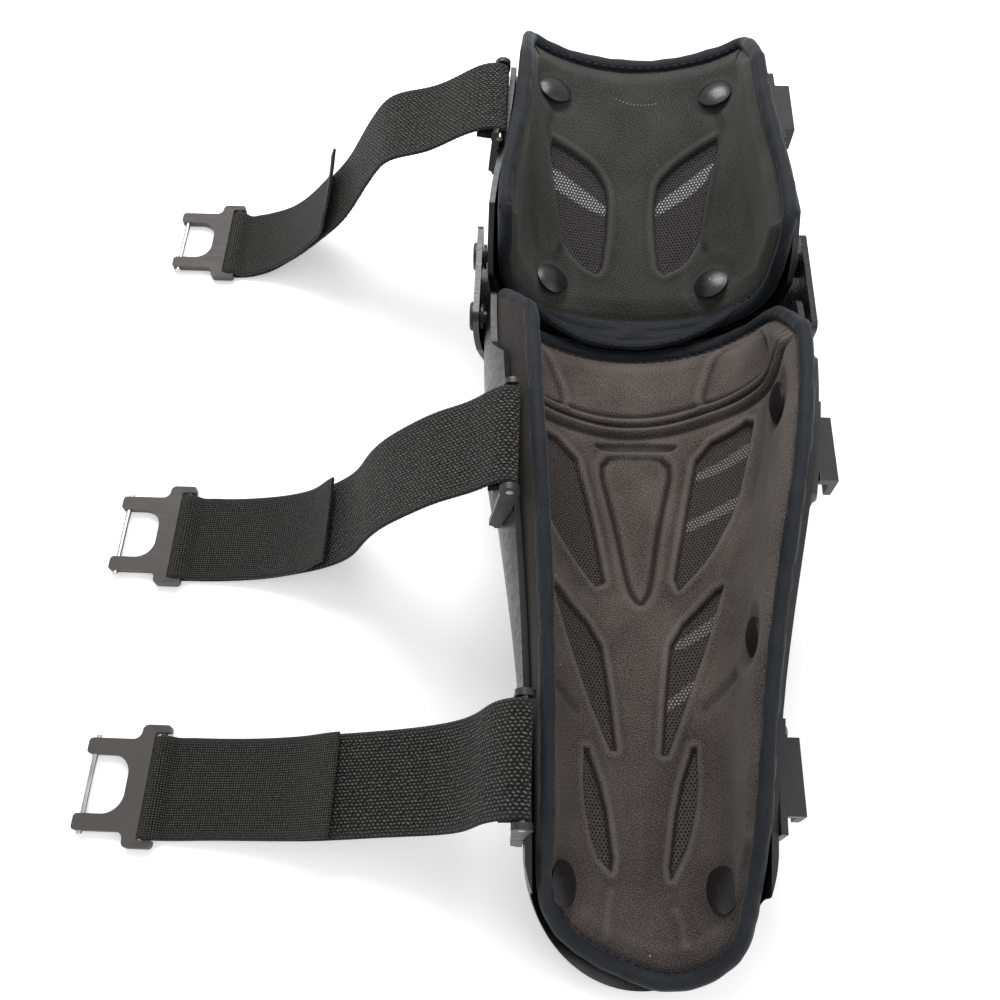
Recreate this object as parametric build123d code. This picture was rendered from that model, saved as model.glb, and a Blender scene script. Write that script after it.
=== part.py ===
"""Articulated motorcycle knee and shin guard, lying on its front with the padded side up.

Units are millimetres. +Y runs from the shin to the thigh, +Z points from the front of the knee to
the back of the leg, and the straps lie out to -X. Everything is drawn with the floor at Z = 0 and
then lowered, so that the origin of the finished part is the middle of the knee, on the height of
the hinges.
"""
from build123d import *
import math
import os

# ---------------------------------------------------------------- driving dimensions
AXIS_HEIGHT = 90.0  # height of the two knee hinges above the floor
HINGE_REACH = 20.0  # each hinge lies this far from the middle of the knee
PAD_THICKNESS = 11.0
SHELL_GAP = 1.0  # between a pad and the shell that carries it
SHELL_THICKNESS = 3.0
SHELL_DROP = 12.0  # a shell ends this far below the edge of its pad
CUP_HALF_WIDTH = 87.0
STRAP_WIDTH = 50.0
STRAP_THICKNESS = 1.6
CLEARANCE = 0.3

# U sections of the pads' outer faces: Y, half width, base, belly height, edge height and how far
# the left edge leans inward
SHIN_SECTIONS = [
    (12.0, 76.0, 23.0, 85.0, 127.0, 11.0),
    (-40.0, 77.0, 21.0, 85.0, 127.0, 17.0),
    (-100.0, 72.0, 18.0, 82.0, 127.0, 16.0),
    (-180.0, 59.0, 15.0, 68.0, 107.0, 8.0),
    (-260.0, 51.0, 12.0, 52.0, 82.0, 2.0),
    (-340.0, 46.0, 11.0, 38.0, 58.0, 0.0),
]
THIGH_SECTIONS = [
    (-4.0, 75.0, 22.5, 85.0, 128.0, 0.0),
    (40.0, 76.8, 40.0, 88.0, 129.0, 0.0),
    (90.0, 71.5, 60.0, 95.0, 130.0, 0.0),
    (140.0, 68.5, 80.0, 106.0, 131.0, 0.0),
    (176.0, 67.0, 94.0, 113.0, 132.0, 0.0),
]
CUP_SECTIONS = [
    (-64.0, CUP_HALF_WIDTH, 10.0, 90.0, 106.0, 0.0),
    (-36.0, CUP_HALF_WIDTH, 5.5, 90.0, 106.0, 0.0),
    (0.0, CUP_HALF_WIDTH, 3.0, 90.0, 106.0, 0.0),
    (36.0, CUP_HALF_WIDTH, 8.0, 90.0, 106.0, 0.0),
    (68.0, CUP_HALF_WIDTH, 26.0, 90.0, 106.0, 0.0),
]

# Strap stations: Y, loop bar (X, Z), path of the strap's middle line down to the floor, the point of
# that path above which the folded flap ends, buckle bar X, the height span of the anchor's plate, and
# the place of the hook receiver on the other side
STATIONS = {
    "thigh": {
        "y": 100.0,
        "bar": (-77.0, 124.5),
        "path": [(-93, 127), (-112, 116), (-132, 106), (-148, 94), (-170, 58), (-196, 27), (-226, 6)],
        "flap_end": 4,
        "buckle_x": -252.0,
        "plate_z": (99.0, 116.0),
        "hook": (112.0, 107.0),
    },
    "upper_shin": {
        "y": -112.0,
        "bar": (-65.0, 124.5),
        "path": [(-82, 120), (-104, 102), (-126, 78), (-140, 55), (-155, 32), (-184, 11), (-216, 3)],
        "flap_end": 4,
        "buckle_x": -248.0,
        "plate_z": (88.0, 108.0),
        "hook": (-103.0, 99.0),
    },
    "lower_shin": {
        "y": -249.0,
        "bar": (-55.5, 94.0),
        "path": [(-67, 92), (-76, 72), (-90, 50), (-114, 36), (-146, 20), (-180, 9), (-212, 3)],
        "flap_end": 4,
        "buckle_x": -237.0,
        "plate_z": (50.0, 68.0),
        "hook": (-247.0, 62.0),
    },
}
LOOP_BAR_RADIUS = 1.6
BUCKLE_BAR_RADIUS = 1.6
BUCKLE_BAR_HEIGHT = 3.9
BUCKLE_THICKNESS = 4.0
BUCKLE_WIDTH = 60.0
PRONG_REACH = 37.0  # from the buckle's bar to the ends of its prongs
PIN_REACH = 33.0  # from the buckle's bar to the wire across its prongs
WIRE_RADIUS = 1.5
HINGE_PIN_RADIUS = 3.0
RUNNING_FIT = 0.08
CAP_RADIUS = 10.0

# Pad caps: Y and the place round the U section, from -1 at the left edge to 1 at the right edge
THIGH_CAPS = [(141.0, 0.37), (33.0, 0.32)]
SHIN_CAPS = [(-72.0, 0.79), (-187.0, 0.78), (-291.0, 0.49)]

# Side outlines (Y, Z)
SHIN_PAD_SIDE = [(5, -5), (5, 60), (-7, 89), (-37, 112), (-66, 135), (-345, 135), (-345, -5)]
THIGH_PAD_SIDE = [(8, -5), (8, 116), (22, 140), (148, 140), (164, 118), (170, 84), (170, -5)]
SHIN_SHELL_SIDE = [
    (-5, -5), (-5, 60), (-7, 84), (-12, 102), (-48, 106), (-74, 130), (-345, 130), (-345, -5),
]
THIGH_SHELL_SIDE = [(14, -5), (8, 70), (7, 90), (18, 104), (42, 124), (130, 124), (150, 92), (158, -5)]
CUP_SIDE = [
    (-31, 104), (31, 104), (31, 76), (28, 62), (46, 40), (65, 36), (65, -5),
    (-61, -5), (-61, 24), (-46, 38), (-28, 62), (-31, 76),
]

# Round the U section, the ellipse reaches from -BELLY_SHARE to BELLY_SHARE and the walls lie beyond
BELLY_SHARE = 0.7
OUTLINE_SHARES = [-1.0, -0.85, -0.7, -0.467, -0.233, 0.0, 0.233, 0.467, 0.7, 0.85, 1.0]


def save(name, shape):
    """Lower the shape so that the knee axis is at Z = 0 and write it as one node."""
    placed = Pos(0, 0, -AXIS_HEIGHT) * shape
    export_step(placed, f"parts/{name}.step")


# ---------------------------------------------------------------- U-shaped troughs
def outline_point(section, share, drop=0.0):
    """(X, Z) of a pad's outer face at a place round its U section."""
    _, half_width, base, belly, edge, lean = section
    side = -1 if share < 0 else 1
    if abs(share) <= BELLY_SHARE:
        turn = math.pi / 2 * share / BELLY_SHARE
        return half_width * math.sin(turn), belly - (belly - base) * math.cos(turn)
    climb = (abs(share) - BELLY_SHARE) / (1 - BELLY_SHARE)
    height = belly + (edge - drop - belly) * climb
    return side * wall_reach(section, height, side), height


def wall_reach(section, height, side):
    """Distance in X from the middle to a pad's outer face at some height."""
    _, half_width, base, belly, edge, lean = section
    if height < belly:
        return half_width * math.sqrt(1 - ((belly - height) / (belly - base)) ** 2)
    rise = (height - belly) / (edge - belly)
    return half_width - (lean * rise**2 if side < 0 else 0)


def offset_point(section, share, offset, drop=0.0):
    """(X, Z) of an outline point moved into the U by offset, and the inward normal there."""
    step = 0.04
    x, z = outline_point(section, share, drop)
    before = outline_point(section, max(share - step, -1), drop)
    after = outline_point(section, min(share + step, 1), drop)
    run, rise = after[0] - before[0], after[1] - before[1]
    length = math.hypot(run, rise)
    normal = (-rise / length, run / length)
    return x + normal[0] * offset, z + normal[1] * offset, normal


def trough(sections, outer, inner, drop):
    """A U-shaped shell through all sections, between two offsets from the pad's outer face."""
    faces = []
    for section in sections:
        walls = []
        for offset in (outer, inner):
            points = [offset_point(section, share, offset, drop) for share in OUTLINE_SHARES]
            walls.append([(x, section[0], z) for x, z, _ in points])
        outside, inside = walls
        edges = [
            Spline(*outside),
            Line(outside[-1], inside[-1]),
            Spline(*inside),
            Line(inside[0], outside[0]),
        ]
        faces.append(Face(Wire(edges)))
    return loft(faces)


def section_at(sections, y):
    """The U section at any Y, read between its two neighbours."""
    ordered = sorted(sections)
    for low, high in zip(ordered, ordered[1:]):
        if low[0] <= y <= high[0]:
            share = (y - low[0]) / (high[0] - low[0])
            return tuple(a + (b - a) * share for a, b in zip(low, high))
    raise ValueError(f"no section at {y}")


# ---------------------------------------------------------------- helpers
def side_prism(points, radius):
    """A block across the whole guard whose outline is seen from the side (Y, Z)."""
    outline = FilletPolyline(*points, radius=radius, close=True)
    return extrude(Plane.YZ * make_face(outline), 130, both=True)


def plan_prism(points, radius):
    """A tall block whose outline is seen from above (X, Y)."""
    outline = FilletPolyline(*points, radius=radius, close=True)
    return extrude(make_face(outline), 150)


def profile_along_y(points, y, length, radius):
    """A block whose outline is seen along the strap (X, Z), length long and centred on y."""
    outline = FilletPolyline(*points, radius=radius, close=True)
    block = extrude(Plane.XZ * make_face(outline), length / 2, both=True)
    return Pos(0, y, 0) * block


def span_box(x_span, y_span, z_span):
    """A box between two corners."""
    spans = (x_span, y_span, z_span)
    size = [high - low for low, high in spans]
    middle = [(high + low) / 2 for low, high in spans]
    return Pos(*middle) * Box(*size)


def bar_across(x_span, y, z, radius):
    """A round bar along X."""
    low, high = x_span
    return Pos((low + high) / 2, y, z) * Rot(0, 90, 0) * Cylinder(radius, high - low)


def bar_along(x, y, z, radius, length):
    """A round bar along Y, centred on y."""
    return Pos(x, y, z) * Rot(90, 0, 0) * Cylinder(radius, length)


def smooth_line(points):
    """Straight runs joined by arcs as large as the runs allow."""
    radii = []
    for before, here, after in zip(points, points[1:], points[2:]):
        first = (Vector(*here) - Vector(*before))
        second = (Vector(*after) - Vector(*here))
        half_turn = math.radians(first.get_angle(second)) / 2
        radii.append(0.45 * min(first.length, second.length) / math.tan(half_turn))
    return FilletPolyline(*points, radius=radii)


# ---------------------------------------------------------------- pads and their caps
def shin_end(outset):
    """The shin with its rounded lower end, seen from above."""
    tip = Pos(0, -275) * Ellipse(54 + outset, 57 + outset)
    body = Pos(0, -130) * Rectangle(240, 290)
    return extrude(tip + body, 150)


def cap_places(sections, caps):
    """Where each cap sits on the pad's inner face, on the right and on the left."""
    for y, share in caps:
        for side in (1, -1):
            section = section_at(sections, y)
            x, z, normal = offset_point(section, side * share, PAD_THICKNESS)
            yield Plane(origin=(x, y, z), x_dir=(0, 1, 0), z_dir=(normal[0], 0, normal[1]))


def pad_cap():
    """A domed press stud: its rim is sunk in the pad and its stem goes into the foam."""
    dome = Pos(0, 0, 2.4 - 20) * Sphere(20)
    disc = Pos(0, 0, 0.5) * Cylinder(CAP_RADIUS, 4.4)
    stem = Pos(0, 0, -4.5) * Cylinder(2.2, 6)
    return (dome & disc) + stem


def cap_pocket():
    """The room that a cap needs in its pad."""
    rim = Pos(0, 0, 2) * Cylinder(CAP_RADIUS + 0.2, 7.4)
    stem = Pos(0, 0, -4.5) * Cylinder(2.4, 6.4)
    return rim + stem


def caps(sections, places):
    return Compound([place * pad_cap() for place in cap_places(sections, places)])


def with_pockets(pad, sections, places):
    for place in cap_places(sections, places):
        pad = pad - place * cap_pocket()
    return pad


def shin_pad():
    pad = trough(SHIN_SECTIONS, 0, PAD_THICKNESS, 0)
    pad = pad & side_prism(SHIN_PAD_SIDE, 6) & shin_end(0)
    return with_pockets(pad, SHIN_SECTIONS, SHIN_CAPS)


def thigh_pad():
    pad = trough(THIGH_SECTIONS, 0, PAD_THICKNESS, 0)
    pad = pad & side_prism(THIGH_PAD_SIDE, 6)
    return with_pockets(pad, THIGH_SECTIONS, THIGH_CAPS)


# ---------------------------------------------------------------- shells, knee cup and ribs
SHELL_OUTER = SHELL_GAP + SHELL_THICKNESS
FLOOR_BLOCK = span_box((-120, 120), (-400, 250), (0, 200))


def vent_slots(x, y_places, length, angle):
    """Narrow slots through a shell, mirrored left and right."""
    slots = []
    for y in y_places:
        for side in (1, -1):
            slots.append(Pos(side * x, y, 50) * Rot(0, 0, -side * angle) * Box(3.6, length, 110))
    return slots


def shin_shell():
    shell = trough(SHIN_SECTIONS, -SHELL_GAP, -SHELL_OUTER, SHELL_DROP)
    shell = shell & side_prism(SHIN_SHELL_SIDE, 5) & shin_end(0.5)
    shell = shell - vent_slots(31, (-95, -150, -205), 34, 14)
    return shell - hinge_holes(-HINGE_REACH)


def thigh_shell():
    shell = trough(THIGH_SECTIONS, -SHELL_GAP, -SHELL_OUTER, SHELL_DROP)
    shell = shell & side_prism(THIGH_SHELL_SIDE, 5)
    shell = shell - vent_slots(34, (112,), 34, -14)
    return shell - hinge_holes(HINGE_REACH)


def hinge_holes(y):
    """Holes for the left and right hinge pins."""
    radius = HINGE_PIN_RADIUS + RUNNING_FIT
    return [bar_across((60, 84), y, AXIS_HEIGHT, radius), bar_across((-84, -60), y, AXIS_HEIGHT, radius)]


def hinge_pins(y):
    """The two rivets of one hinge axis, with domed heads outside the knee cup."""
    pins = []
    for side in (1, -1):
        shank = bar_across((78.8, CUP_HALF_WIDTH + 0.5), y, AXIS_HEIGHT, HINGE_PIN_RADIUS)
        head = bar_across((CUP_HALF_WIDTH, CUP_HALF_WIDTH + 2.2), y, AXIS_HEIGHT, 7.5)
        head = fillet(head.faces().sort_by(Axis.X)[-1].edges(), 1.4)
        pin = shank + head
        pins.append(pin if side > 0 else mirror(pin, Plane.YZ))
    return Compound(pins)


def hinge_washers():
    """Spacers between the shells and the ears of the knee cup."""
    washers = []
    for y in (-HINGE_REACH, HINGE_REACH):
        ring = bar_across((82.15, 83.4), y, AXIS_HEIGHT, 6.5)
        ring = ring - bar_across((81, 85), y, AXIS_HEIGHT, HINGE_PIN_RADIUS)
        washers.extend([ring, mirror(ring, Plane.YZ)])
    return Compound(washers)


def knee_cup():
    cup = trough(CUP_SECTIONS, 0, SHELL_THICKNESS, 0) & side_prism(CUP_SIDE, 4) & FLOOR_BLOCK
    return cup - [hinge_pins(HINGE_REACH), hinge_pins(-HINGE_REACH)]


def cup_wear_plate():
    """The replaceable sliding plate under the knee cup, flat where it meets the ground."""
    plate = trough(CUP_SECTIONS, -0.05, -3.6, 0)
    outline = [(-16, -44), (16, -44), (34, -8), (26, 40), (-26, 40), (-34, -8)]
    return plate & plan_prism(outline, 7) & FLOOR_BLOCK


def cup_ribs():
    """Two raised side ribs of the knee cup."""
    layer = trough(CUP_SECTIONS, -0.05, -2.6, 0)
    right = [(44, -34), (54, -38), (62, 0), (54, 42), (42, 44), (48, 0)]
    left = [(-x, y) for x, y in right]
    return Compound([layer & plan_prism(outline, 3) for outline in (right, left)])


def shin_spine():
    """The raised skid down the front of the shin, flat where it rests on the ground."""
    layer = trough(SHIN_SECTIONS, -SHELL_OUTER - 0.05, -SHELL_OUTER - 8.0, SHELL_DROP)
    outline = [(-9, -78), (9, -78), (15, -170), (19, -318), (-19, -318), (-15, -170)]
    return layer & plan_prism(outline, 6) & FLOOR_BLOCK


def thigh_spine():
    """The raised rib up the front of the thigh shell."""
    layer = trough(THIGH_SECTIONS, -SHELL_OUTER - 0.05, -SHELL_OUTER - 5.0, SHELL_DROP)
    outline = [(-19, 82), (19, 82), (12, 145), (-12, 145)]
    return layer & plan_prism(outline, 6)


# ---------------------------------------------------------------- strap anchors and hook receivers
def mount_layer(sections):
    """The layer just outside a shell that the plates of anchors and receivers are cut from."""
    return trough(sections, -SHELL_OUTER - 0.35, -SHELL_OUTER - 3.3, 0)


def wall_room(sections):
    """The room of a pad and its shell, which the parts mounted outside keep clear of."""
    return trough(sections, PAD_THICKNESS, -SHELL_OUTER - 0.3, 0)


def outside(sections, y, z, side, distance):
    """X of a point some distance outside a pad's outer face."""
    return side * (wall_reach(section_at(sections, y), z, side) + distance)


def strap_anchor(station, sections, layer):
    """A plate on the left wall with two cheeks that hold the strap's loop bar."""
    y, (bar_x, bar_z), (low, high) = station["y"], station["bar"], station["plate_z"]
    anchor = layer & span_box((-120, 0), (y - 29, y + 29), (low, high))
    for cheek_y in (y - 27.5, y + 27.5):
        points = [
            (outside(sections, cheek_y, low, -1, 5.7), low),
            (outside(sections, cheek_y, high, -1, 5.7), high),
            (bar_x + 3.6, bar_z - 2),
            (bar_x - 4.2, bar_z - 2),
            (outside(sections, cheek_y, low, -1, 10.0), low + 3),
        ]
        anchor = anchor + profile_along_y(points, cheek_y, 3, 0.4)
        anchor = anchor + bar_along(bar_x, cheek_y, bar_z, 4.6, 3)
    return anchor - loop_bar(station)


def loop_bar(station):
    """The steel bar that the strap is looped round."""
    bar_x, bar_z = station["bar"]
    return bar_along(bar_x, station["y"], bar_z, LOOP_BAR_RADIUS, 58)


def hook_receiver(station, sections, layer):
    """A plate on the right wall with a hook whose mouth opens towards the front of the leg."""
    y, z = station["hook"]
    plate = layer & span_box((0, 120), (y - 25, y + 25), (z - 8, z + 9))
    wall = outside(sections, y, z, 1, 0)
    hook = [
        (wall + 5.8, z + 3.2),
        (wall + 11.0, z + 3.2),
        (wall + 11.0, z - 7),
        (wall + 14.6, z - 7),
        (wall + 14.6, z + 7.5),
        (wall + 5.8, z + 7.5),
    ]
    return plate + profile_along_y(hook, y, 34, 0.6)


def rivet(sections, y, z, side):
    """A rivet through a plate and the shell behind it."""
    face = abs(outside(sections, y, z, side, SHELL_OUTER + 3.1))
    shank = bar_across((face - 5.6, face + 0.5), y, z, 1.8)
    head = bar_across((face, face + 1.8), y, z, 3.4)
    head = fillet(head.faces().sort_by(Axis.X)[-1].edges(), 1.2)
    whole = shank + head
    return whole if side > 0 else mirror(whole, Plane.YZ)


def station_rivets(station, sections):
    """Two rivets in the strap anchor and two in the hook receiver."""
    y, (low, high) = station["y"], station["plate_z"]
    hook_y, hook_z = station["hook"]
    found = [rivet(sections, y + shift, (low + high) / 2, -1) for shift in (-12, 12)]
    found += [rivet(sections, hook_y + shift, hook_z, 1) for shift in (-21, 21)]
    return found


# ---------------------------------------------------------------- straps and buckles
def strap(station):
    """An elastic strap: a loop round the anchor's bar, a run down to the floor, a loop round the
    buckle's bar, and the flap folded back over the run."""
    (bar_x, bar_z), buckle_x = station["bar"], station["buckle_x"]
    loop = LOOP_BAR_RADIUS + CLEARANCE + STRAP_THICKNESS / 2
    run = [(bar_x, bar_z + loop)] + station["path"] + [(buckle_x, BUCKLE_BAR_HEIGHT - loop)]
    flap = [(buckle_x, BUCKLE_BAR_HEIGHT + loop), (buckle_x + 12, BUCKLE_BAR_HEIGHT + loop - 0.6)]
    for before, here, after in reversed(list(zip(run, run[1:], run[2:]))[station["flap_end"]:]):
        along = Vector(*after) - Vector(*before)
        lift = STRAP_THICKNESS / along.length
        flap.append((here[0] + along.Y * lift, here[1] - along.X * lift))
    outline = trace(smooth_line(run), STRAP_THICKNESS) + trace(smooth_line(flap), STRAP_THICKNESS)
    for x, z in ((bar_x, bar_z), (buckle_x, BUCKLE_BAR_HEIGHT)):
        outline = outline + Pos(x, z) * Circle(loop + STRAP_THICKNESS / 2)
        outline = outline - Pos(x, z) * Circle(loop - STRAP_THICKNESS / 2)
    band = extrude(Plane.XZ * outline, STRAP_WIDTH / 2, both=True)
    return Pos(0, station["y"], 0) * band


def buckle(station):
    """A flat frame with a round bar for the strap and two prongs that carry the wire."""
    edge = BUCKLE_WIDTH / 2
    right_half = [
        (-3.5, 26.2), (-3.5, edge), (11, edge), (11, 22.5), (PRONG_REACH, 22.5),
        (PRONG_REACH, 14.5), (14, 14.5),
    ]
    inner = [(4.2, 26.2)]
    left_half = [(reach, -y) for reach, y in reversed(right_half)]
    points = inner + right_half + left_half + [(4.2, -26.2)]
    radii = [1, 0.5, 2, 3, 4, 2, 2, 10, 10, 2, 2, 4, 3, 2, 0.5, 1]
    outline = FilletPolyline(*[(-reach, y) for reach, y in points], radius=radii, close=True)
    plate = extrude(make_face(outline), BUCKLE_THICKNESS / 2, both=True)
    plate = plate + bar_along(0, 0, 0, BUCKLE_BAR_RADIUS, BUCKLE_WIDTH - 4)
    return Pos(station["buckle_x"], station["y"], BUCKLE_BAR_HEIGHT) * plate - buckle_wire(station)


def buckle_wire(station):
    """The steel wire across the ends of the prongs."""
    x = station["buckle_x"] - PIN_REACH
    return bar_along(x, station["y"], BUCKLE_BAR_HEIGHT, WIRE_RADIUS, 48)


# ---------------------------------------------------------------- the whole guard
def build():
    os.makedirs("parts", exist_ok=True)
    sides = {"thigh": THIGH_SECTIONS, "upper_shin": SHIN_SECTIONS, "lower_shin": SHIN_SECTIONS}
    layers = {"thigh": mount_layer(THIGH_SECTIONS), "upper_shin": mount_layer(SHIN_SECTIONS)}
    layers["lower_shin"] = layers["upper_shin"]
    rooms = {"thigh": wall_room(THIGH_SECTIONS), "upper_shin": wall_room(SHIN_SECTIONS)}
    rooms["lower_shin"] = rooms["upper_shin"]
    rivets = {name: station_rivets(STATIONS[name], sides[name]) for name in STATIONS}
    for name, station in STATIONS.items():
        anchor = strap_anchor(station, sides[name], layers[name])
        receiver = hook_receiver(station, sides[name], layers[name])
        save(f"{name}_strap_anchor", anchor - rooms[name] - rivets[name])
        save(f"{name}_hook_receiver", receiver - rooms[name] - rivets[name])
        save(f"{name}_loop_bar", loop_bar(station))
        save(f"{name}_strap", strap(station))
        save(f"{name}_buckle", buckle(station))
        save(f"{name}_buckle_wire", buckle_wire(station))
    shin_rivets = rivets["upper_shin"] + rivets["lower_shin"]
    save("thigh_rivets", Compound(rivets["thigh"]))
    save("shin_rivets", Compound(shin_rivets))
    save("shin_pad", shin_pad())
    save("thigh_pad", thigh_pad())
    save("shin_pad_caps", caps(SHIN_SECTIONS, SHIN_CAPS))
    save("thigh_pad_caps", caps(THIGH_SECTIONS, THIGH_CAPS))
    save("shin_shell", shin_shell() - shin_rivets)
    save("thigh_shell", thigh_shell() - rivets["thigh"])
    save("shin_spine", shin_spine())
    save("thigh_spine", thigh_spine())
    save("knee_cup", knee_cup())
    save("cup_wear_plate", cup_wear_plate())
    save("cup_ribs", cup_ribs())
    save("thigh_hinge_pins", hinge_pins(HINGE_REACH))
    save("shin_hinge_pins", hinge_pins(-HINGE_REACH))
    save("hinge_washers", hinge_washers())


build()
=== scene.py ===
"""Looks of an articulated motorcycle knee guard that lies on its front, padded side up.

Lengths in the shape code are millimetres with the floor at Z = 0, as in the part. `place` turns
them into the frame's metres, with the knee axis at Z = 0.
"""

import math

import bpy
import numpy as np
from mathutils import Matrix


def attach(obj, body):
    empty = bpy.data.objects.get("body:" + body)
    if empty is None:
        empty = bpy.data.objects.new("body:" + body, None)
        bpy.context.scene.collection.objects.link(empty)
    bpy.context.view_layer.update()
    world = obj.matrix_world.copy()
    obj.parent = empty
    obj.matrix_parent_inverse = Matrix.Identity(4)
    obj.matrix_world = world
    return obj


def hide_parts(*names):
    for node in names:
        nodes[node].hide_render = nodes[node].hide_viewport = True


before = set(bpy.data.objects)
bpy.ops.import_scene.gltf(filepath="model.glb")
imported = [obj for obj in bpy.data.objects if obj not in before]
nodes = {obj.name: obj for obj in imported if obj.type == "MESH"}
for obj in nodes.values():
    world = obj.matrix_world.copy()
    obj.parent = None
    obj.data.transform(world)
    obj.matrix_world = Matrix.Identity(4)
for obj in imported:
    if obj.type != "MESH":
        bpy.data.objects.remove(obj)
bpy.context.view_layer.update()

# ---------------------------------------------------------------- dimensions
AXIS_HEIGHT = 90.0
PAD_THICKNESS = 11.0
EDGE_DIP = 4.6
BELLY_SHARE = 0.7
STRAP_HALF_WIDTH = 25.0
STRAP_THICKNESS = 1.6

# U sections of the pads' outer faces: Y, half width, base, belly height, edge height, left lean
SHIN_SECTIONS = np.array([
    (-340.0, 46.0, 11.0, 38.0, 58.0, 0.0),
    (-260.0, 51.0, 12.0, 52.0, 82.0, 2.0),
    (-180.0, 59.0, 15.0, 68.0, 107.0, 8.0),
    (-100.0, 72.0, 18.0, 82.0, 127.0, 16.0),
    (-40.0, 77.0, 21.0, 85.0, 127.0, 17.0),
    (12.0, 76.0, 23.0, 85.0, 127.0, 11.0),
])
THIGH_SECTIONS = np.array([
    (-4.0, 75.0, 22.5, 85.0, 128.0, 0.0),
    (40.0, 76.8, 40.0, 88.0, 129.0, 0.0),
    (90.0, 71.5, 60.0, 95.0, 130.0, 0.0),
    (140.0, 68.5, 80.0, 106.0, 131.0, 0.0),
    (176.0, 67.0, 94.0, 113.0, 132.0, 0.0),
])
# Places of the caps: Y and share round the U section
SHIN_CAPS = [(-72.0, 0.79), (-187.0, 0.78), (-291.0, 0.49)]
THIGH_CAPS = [(141.0, 0.37), (33.0, 0.32)]

# Moulded shapes on the inside of the shin pad: distance round the U from the middle, and Y
SHIN_WINDOWS = [
    [(75, -60), (37, -66), (29, -104), (20, -150), (40, -132), (57, -110), (68, -84)],
    [(-82, -58), (-33, -66), (-22, -104), (-13, -152), (-46, -116), (-66, -90)],
    [(49, -146), (19, -170), (15, -200), (12, -237), (27, -200), (43, -164)],
    [(-49, -146), (-18, -171), (-13, -200), (-9, -235), (-26, -200), (-42, -164)],
    [(29, -222), (19, -250), (13, -289), (23, -272), (29, -250)],
    [(-27, -224), (-16, -250), (-11, -285), (-21, -276), (-27, -250)],
]
# Stripes of painted light seen through the shin pad's mesh windows, in the same terms
SHIN_LIT_STRIPES = [
    [(32, -80), (72, -71), (72, -79), (32, -85)],
    [(22, -109), (64, -98), (62, -105), (22, -115)],
    [(20, -173), (46, -160), (45, -168), (20, -178)],
    [(12, -205), (30, -192), (30, -199), (12, -210)],
]
SHIN_WEDGE = [(-19, -68), (24, -68), (14, -112), (9, -146), (4, -154), (-2, -146), (-8, -112)]
SHIN_LENS = [(-22, -61), (3, -58.5), (28, -61), (22, -66), (3, -64.5), (-16, -66)]
SHIN_PANELS = [
    [(50, -6), (79, -4), (100, -38), (68, -40), (37, -42)],
    [(-52, -6), (-79, -4), (-100, -38), (-66, -42), (-34, -44)],
]
SHIN_SMILE = [
    (-140, -36), (-108, -42), (-80, -45), (-54, -47), (-28, -48.5), (3, -49), (38, -46),
    (70, -46), (100, -47), (128, -40),
]
SHIN_GROOVES = [
    ([(30, -211), (44, -203), (60, -196)], 1.6, 3.0),
    ([(-28, -213), (-42, -205), (-57, -198)], 1.3, 3.0),
    ([(62, -126), (56, -142), (30, -166)], 0.5, 4.0),
    ([(86, -60), (80, -84), (66, -118)], 0.6, 4.0),
]
SHIN_RIDGES = [
    ([(-12, -289), (-15, -300), (-16, -318)], 1.1, 2.6),
    ([(15, -296), (19, -306), (20, -318)], 1.1, 2.6),
    ([(1, -240), (1, -262), (1, -292)], 0.8, 4.0),
    ([(62, -128), (46, -143), (20, -160)], 0.8, 4.5),
    ([(-60, -128), (-46, -143), (-20, -161)], 0.8, 4.5),
]

# The same for the thigh pad
THIGH_WINDOWS = [
    [(-51, 111), (-38, 108), (-22, 100), (-14, 88), (-14, 66), (-17, 41), (-27, 44), (-38, 51), (-43, 72)],
    [(51, 114), (40, 111), (26, 104), (15, 94), (13, 80), (14, 60), (17, 41), (31, 46), (39, 57), (43, 84)],
]
# Stripes of painted light seen through the thigh pad's mesh windows
THIGH_LIT_STRIPES = [
    [(-52, 100), (-14, 82), (-15, 75), (-52, 88)],
    [(12, 83), (49, 105), (41, 90), (12, 76)],
]
THIGH_CREASES = [
    ([(-46, 136), (-52, 116), (-46, 84), (-41, 54), (-46, 40)], 1.3, 2.4),
    ([(46, 136), (52, 118), (47, 88), (41, 58), (47, 42)], 1.3, 2.4),
    ([(-60, 92), (-63, 60), (-56, 40)], 0.8, 4.0),
]
# Where the raised strap presses the thigh binding inwards: Y, half length and depth
STRAP_TUCK = (100.0, 34.0, 1.4)
VENT_DOTS = [(-12.5, 141.5), (13.0, 138.5)]
# Middle of the loose fold under the thigh pad: distance round the U, Y and height over the outer face
KNEE_FOLD = [
    (-62, 15.5, 7.5), (-46, 9.5, 9.0), (-26, 5.2, 9.8), (-4, 4.0, 10.2), (18, 4.6, 10.0), (40, 8.0, 9.2),
    (60, 13.5, 7.5),
]

# Straps: loop bar, run of the band down to the floor, flap end, raised tip, buckle bar, Y at both ends
STRAPS = {
    "thigh": {
        "bar": (-77.0, 124.5),
        "run": [
            (-93, 124.6), (-105, 117.5), (-118, 110.5), (-130, 107), (-140, 103), (-150, 92), (-160, 76),
            (-172, 56), (-187, 38), (-205, 20), (-230, 5.0),
        ],
        "flap": -170.0,
        "tip": 9.0,
        "drift": (100.0, 98.5),
        "buckle": -252.0,
    },
    "upper_shin": {
        "bar": (-65.0, 124.5),
        "run": [
            (-80, 118), (-98, 104.5), (-114, 90), (-128, 75), (-139, 58), (-147, 42), (-160, 27), (-190, 9),
            (-225, 2.2),
        ],
        "flap": -155.0,
        "tip": 4.0,
        "drift": (-112.0, -113.0),
        "buckle": -248.0,
    },
    "lower_shin": {
        "bar": (-55.5, 94.0),
        "run": [
            (-67, 90), (-76, 71), (-84, 56), (-98, 44), (-120, 33), (-150, 20), (-185, 8.5), (-215, 3.2),
        ],
        "flap": -140.0,
        "tip": 3.0,
        "drift": (-249.0, -249.6),
        "buckle": -237.0,
    },
}
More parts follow.
